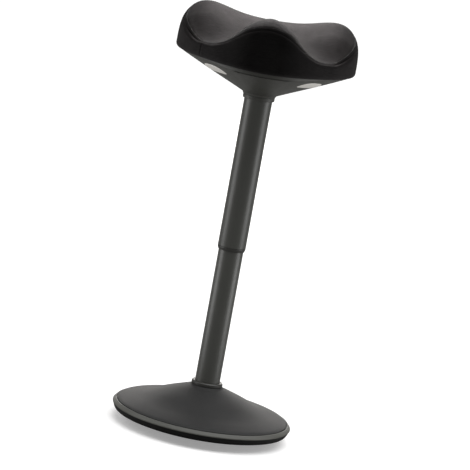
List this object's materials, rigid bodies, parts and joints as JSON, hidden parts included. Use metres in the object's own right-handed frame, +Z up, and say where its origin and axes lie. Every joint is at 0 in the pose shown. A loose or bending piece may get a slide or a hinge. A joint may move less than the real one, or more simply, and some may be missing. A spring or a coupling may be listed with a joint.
{
  "type": "perch stool",
  "caption": "Height-adjustable perch stool with a padded saddle seat, telescopic gas-lift column and a heavy domed base that rocks on the floor.",
  "frame": {"origin": "centre of the small flat at the bottom of the rocker sole, under the column axis", "axes": "+Z up along the column, -Y to the front of the seat (the narrow nose), +X to the right when looking along +Y"},
  "size_m": [0.36, 0.36, 0.8487],
  "materials": {
    "seat_fabric": "matte",
    "foam": "matte",
    "plywood": "matte",
    "pan_plastic": "satin",
    "paddle_plastic": "satin",
    "tube_paint": "satin",
    "cover_plastic": "matte",
    "rim_plastic": "satin",
    "sole_rubber": "matte",
    "buffer_rubber": "matte",
    "plain_steel": "satin",
    "zinc_steel": "satin",
    "black_steel": "satin",
    "rod_chrome": "polished",
    "ballast_iron": "matte",
    "bearing_nylon": "satin",
    "black_nylon": "satin"
  },
  "bodies": {
    "base": {"rocker_sole": "sole_rubber", "base_pan": "rim_plastic", "ballast_plate": "ballast_iron", "hub_socket": "plain_steel", "hub_screw_1": "zinc_steel", "hub_screw_2": "zinc_steel", "hub_screw_3": "zinc_steel", "hub_screw_4": "zinc_steel", "ballast_screw_1": "zinc_steel", "ballast_screw_2": "zinc_steel", "ballast_screw_3": "zinc_steel", "ballast_screw_4": "zinc_steel", "base_cover": "cover_plastic", "column_collar": "black_nylon", "column_tube": "tube_paint", "tube_end_disc": "plain_steel", "guide_bush": "bearing_nylon", "lower_race": "plain_steel", "ball_cage": "plain_steel"},
    "rod": {"piston_rod": "rod_chrome", "piston": "bearing_nylon", "rod_clip": "plain_steel", "upper_race": "plain_steel", "bump_buffer": "buffer_rubber"},
    "seat": {"gas_cylinder": "black_steel", "cylinder_gland": "bearing_nylon", "sleeve_tube": "tube_paint", "sleeve_guide_ring": "black_nylon", "neck_ring": "pan_plastic", "mechanism_bracket": "plain_steel", "seat_pan": "pan_plastic", "seat_board": "plywood", "seat_foam": "foam", "seat_cover": "seat_fabric", "bracket_screw_1": "zinc_steel", "bracket_screw_2": "zinc_steel", "bracket_screw_3": "zinc_steel", "bracket_screw_4": "zinc_steel", "tee_nut_1": "zinc_steel", "tee_nut_2": "zinc_steel", "tee_nut_3": "zinc_steel", "tee_nut_4": "zinc_steel", "pan_screw_1": "black_steel", "pan_screw_2": "black_steel", "pan_screw_3": "black_steel", "pan_screw_4": "black_steel", "left_lever_pin": "zinc_steel", "right_lever_pin": "zinc_steel"},
    "left_lever": {"left_lever_arm": "plain_steel", "left_lever_paddle": "paddle_plastic"},
    "right_lever": {"right_lever_arm": "plain_steel", "right_lever_paddle": "paddle_plastic"},
    "button": {"valve_button": "zinc_steel"}
  },
  "joints": [
    {"name": "seat_swivel", "type": "hinge", "parent": "base", "child": "rod", "pos_m": [0, 0, 0.035], "axis": [0, 0, 1], "continuous": true},
    {"name": "seat_height", "type": "slide", "parent": "rod", "child": "seat", "axis": [0, 0, 1], "range_m": [-0.26, 0]},
    {"name": "left_lever_lift", "type": "hinge", "parent": "seat", "child": "left_lever", "pos_m": [-0.03289, -0.01464, 0.734], "axis": [-0.4067, 0.9135, 0], "range_deg": [0, 5.5], "stiffness_Nm_per_rad": 8, "springref_deg": -5.73},
    {"name": "right_lever_lift", "type": "hinge", "parent": "seat", "child": "right_lever", "pos_m": [0.03289, -0.01464, 0.734], "axis": [-0.4067, -0.9135, 0], "range_deg": [0, 5.5], "stiffness_Nm_per_rad": 8, "springref_deg": -5.73},
    {"name": "valve_press", "type": "slide", "parent": "seat", "child": "button", "axis": [0, 0, -1], "range_m": [0, 0.0032]}
  ],
  "couplings": [
    {"joint": "right_lever_lift", "follows": "left_lever_lift", "ratio": 1},
    {"joint": "valve_press", "follows": "left_lever_lift", "m_per_rad": 0.031}
  ]
}
